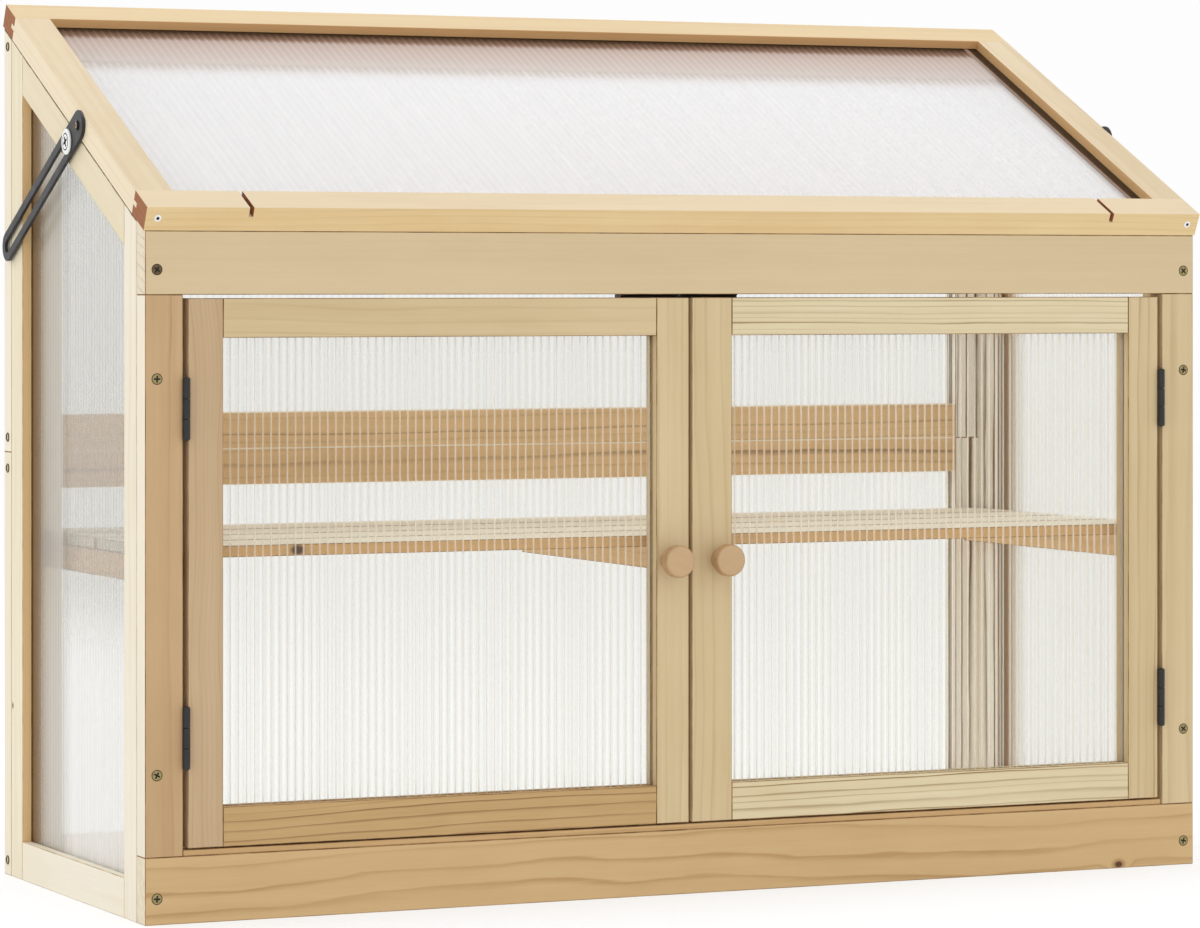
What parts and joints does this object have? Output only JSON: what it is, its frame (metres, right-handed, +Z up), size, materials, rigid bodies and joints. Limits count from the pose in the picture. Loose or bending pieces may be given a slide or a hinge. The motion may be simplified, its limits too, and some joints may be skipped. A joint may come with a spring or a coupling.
{
  "type": "mini greenhouse",
  "caption": "Wooden cold frame with a sloping hinged lid on slotted stays, double doors, an inner shelf and translucent twin-wall sheets.",
  "frame": {"origin": "middle of the width and of the whole depth, on the ground plane under the case", "axes": "+X to the right as seen from the front, +Y from the doors to the back, +Z up"},
  "size_m": [1.055, 0.4285, 0.8047],
  "materials": {
    "wood": "planed softwood, clear oiled",
    "sheet": "translucent twin-wall polycarbonate",
    "black_metal": "black powder coat, satin",
    "catch": "moulded black plastic",
    "hinge": "black painted steel",
    "zinc": "bright zinc plated steel",
    "magnet": "ground magnet"
  },
  "bodies": {
    "body": {"apron": "wood", "kickboard": "wood", "left_jamb": "wood", "right_jamb": "wood", "left_side_front_stile": "wood", "left_side_rear_stile": "wood", "left_side_bottom_rail": "wood", "left_side_top_rail": "wood", "left_side_sheet": "sheet", "right_side_front_stile": "wood", "right_side_rear_stile": "wood", "right_side_bottom_rail": "wood", "right_side_top_rail": "wood", "right_side_sheet": "sheet", "back_lower_left_stile": "wood", "back_lower_right_stile": "wood", "back_lower_bottom_rail": "wood", "back_lower_top_rail": "wood", "back_lower_sheet": "sheet", "back_upper_left_stile": "wood", "back_upper_right_stile": "wood", "back_upper_bottom_rail": "wood", "back_upper_top_rail": "wood", "back_upper_sheet": "sheet", "shelf_slats": "wood", "left_cleat": "wood", "right_cleat": "wood", "shelf_batten": "wood", "door_hinge_jamb_leaves": "hinge", "catch_case": "catch", "catch_magnets": "magnet", "lid_hinge_back_leaves": "hinge"},
    "left_door": {"left_door_hinge_stile": "wood", "left_door_meeting_stile": "wood", "left_door_bottom_rail": "wood", "left_door_top_rail": "wood", "left_door_sheet": "sheet", "left_door_hinge_leaves": "hinge", "left_door_strike": "zinc"},
    "right_door": {"right_door_hinge_stile": "wood", "right_door_meeting_stile": "wood", "right_door_bottom_rail": "wood", "right_door_top_rail": "wood", "right_door_sheet": "sheet", "right_door_hinge_leaves": "hinge", "right_door_strike": "zinc"},
    "lid": {"lid_front_rail": "wood", "lid_back_rail": "wood", "lid_left_rail": "wood", "lid_right_rail": "wood", "lid_sheet": "sheet", "lid_hinge_lid_leaves": "hinge", "stay_pivot_screws": "zinc"},
    "left_stay": {"left_stay": "black_metal"},
    "right_stay": {"right_stay": "black_metal"},
    "left_stud": {"left_stay_stud": "zinc"},
    "right_stud": {"right_stay_stud": "zinc"}
  },
  "joints": [
    {"name": "left_door_swing", "type": "hinge", "parent": "body", "child": "left_door", "pos_m": [-0.48375, -0.191, 0.3], "axis": [0, 0, -1], "range_deg": [0, 115]},
    {"name": "right_door_swing", "type": "hinge", "parent": "body", "child": "right_door", "pos_m": [0.48375, -0.191, 0.3], "axis": [0, 0, 1], "range_deg": [0, 115]},
    {"name": "lid_lift", "type": "hinge", "parent": "body", "child": "lid", "pos_m": [0, 0.211, 0.78538], "axis": [-1, 0, 0], "range_deg": [0, 51]},
    {"name": "left_stay_turn", "type": "hinge", "parent": "lid", "child": "left_stay", "pos_m": [-0.5233, -0.01997, 0.68613], "axis": [-1, 0, 0], "range_deg": [0, 7.28]},
    {"name": "left_stud_run", "type": "slide", "parent": "left_stay", "child": "left_stud", "axis": [0, 0.8894, -0.4571], "range_m": [0, 0.20072]},
    {"name": "right_stay_turn", "type": "hinge", "parent": "lid", "child": "right_stay", "pos_m": [0.5233, -0.01997, 0.68613], "axis": [-1, 0, 0], "range_deg": [0, 7.28]},
    {"name": "right_stud_run", "type": "slide", "parent": "right_stay", "child": "right_stud", "axis": [0, 0.8894, -0.4571], "range_m": [0, 0.20072]}
  ],
  "couplings": [
    {"joint": "left_stay_turn", "follows": "lid_lift", "ratio": 0.14264},
    {"joint": "left_stud_run", "follows": "lid_lift", "m_per_rad": 0.22549},
    {"joint": "right_stay_turn", "follows": "lid_lift", "ratio": 0.14264},
    {"joint": "right_stud_run", "follows": "lid_lift", "m_per_rad": 0.22549}
  ]
}
